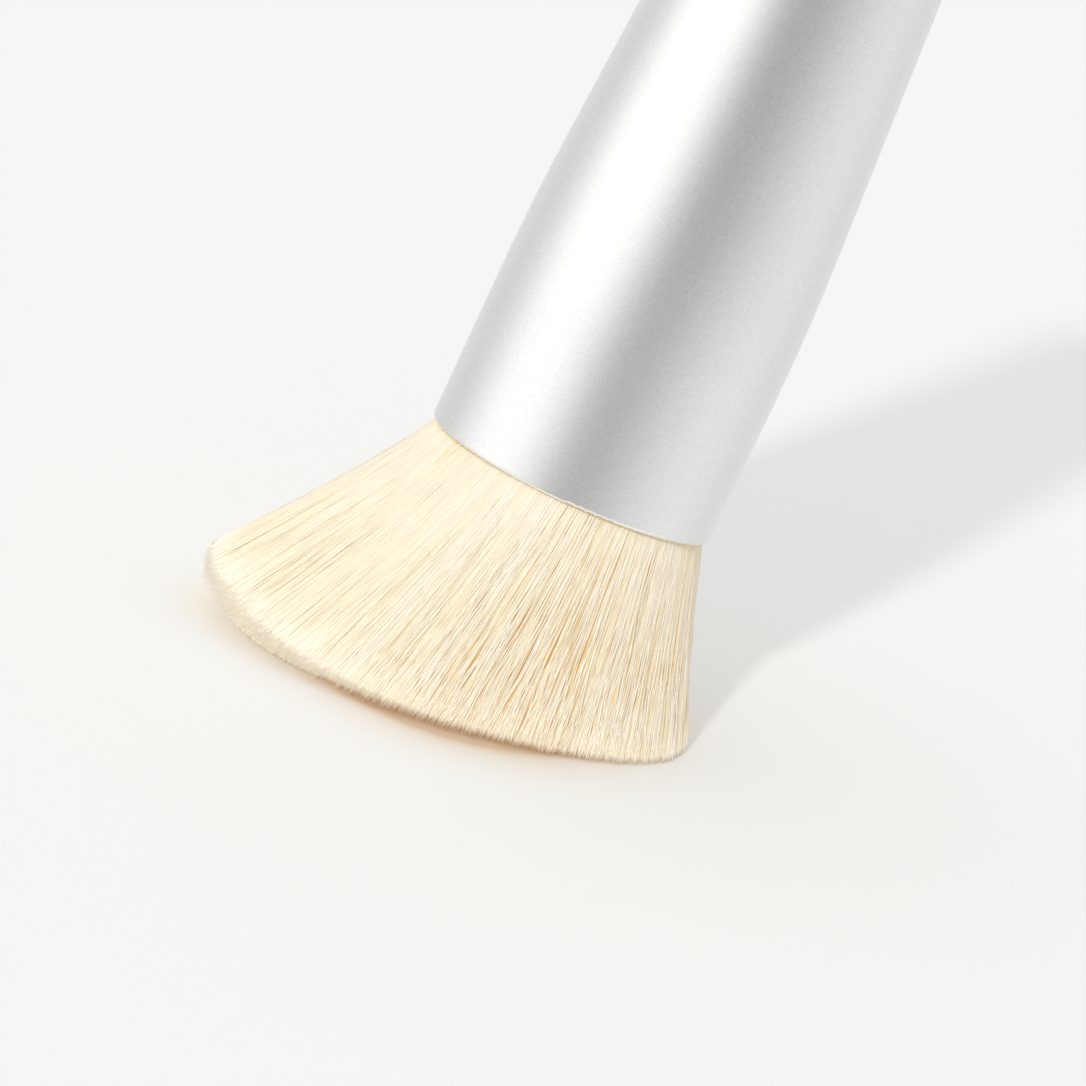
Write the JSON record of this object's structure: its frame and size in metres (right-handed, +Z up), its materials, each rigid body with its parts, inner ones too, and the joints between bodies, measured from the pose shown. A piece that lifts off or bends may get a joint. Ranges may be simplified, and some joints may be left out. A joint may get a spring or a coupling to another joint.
{
  "type": "angled foundation brush",
  "caption": "Short foundation brush: a round satin metal handle in one piece with its ferrule, and a dense cream tuft that fans to a wide oval face cut at an angle.",
  "frame": {"origin": "middle of the tuft's cut face, where the brush stands on a surface", "axes": "+Z up, square to the cut face; +X along the oval face towards its short end; the handle leans 11.5 degrees, to +X and +Y"},
  "size_m": [0.0469, 0.0354, 0.09],
  "materials": {
    "satin_metal": "satin",
    "cup_plastic": "matte",
    "clear_resin": "gloss",
    "cream_bristle": "matte"
  },
  "bodies": {
    "root": {"handle_shell": "satin_metal", "tuft_cup": "cup_plastic", "root_resin": "clear_resin", "bristle_tuft": "cream_bristle"}
  },
  "joints": []
}
